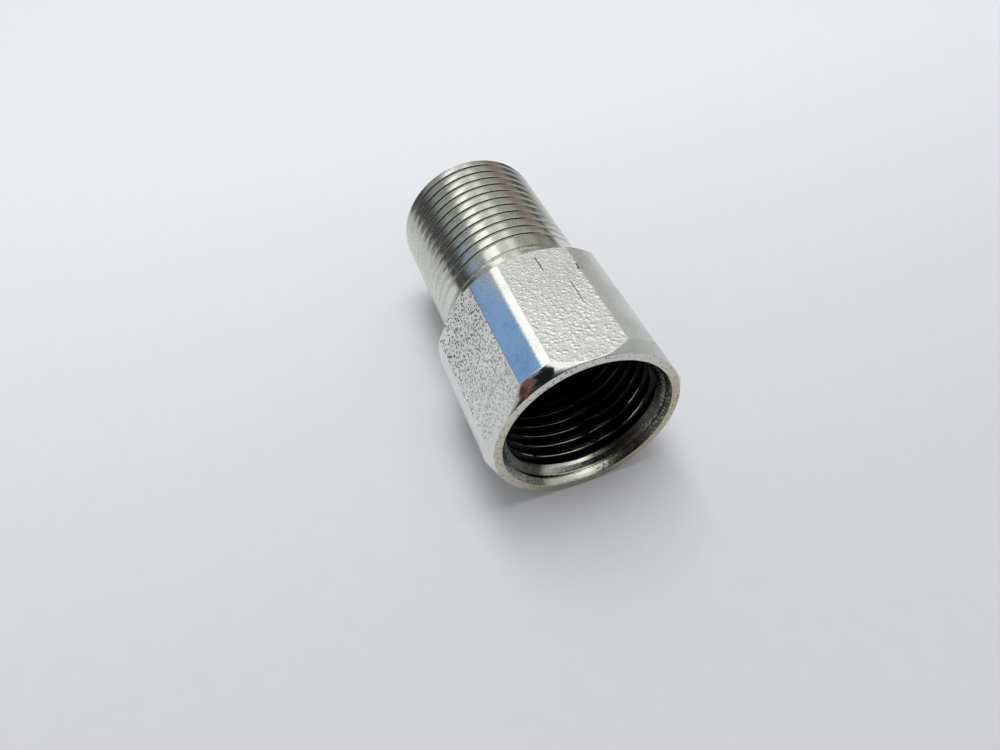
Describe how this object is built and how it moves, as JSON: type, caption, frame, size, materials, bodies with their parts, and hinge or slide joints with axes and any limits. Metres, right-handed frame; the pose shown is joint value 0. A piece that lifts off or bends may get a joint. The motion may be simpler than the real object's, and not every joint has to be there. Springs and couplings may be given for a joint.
{
  "type": "extension adapter",
  "caption": "Straight extension adapter: a hexagon body with a female threaded mouth and a longer male threaded stem on the same axis, bored right through.",
  "frame": {"origin": "on the common axis, in the plane of the shoulder between the hexagon and the male stem", "axes": "+X along the axis, out of the female mouth; the male stem points along -X; +Z square to the upper flat, with the lower flat down; +Y completes a right-handed frame"},
  "size_m": [0.0345, 0.0204, 0.019],
  "materials": {
    "zinc_plated_steel": "bright zinc plate over turned steel, finely bumped on the as-drawn flats, turning lines on the lands"
  },
  "bodies": {
    "root": {"adapter_body": "zinc_plated_steel"}
  },
  "joints": []
}
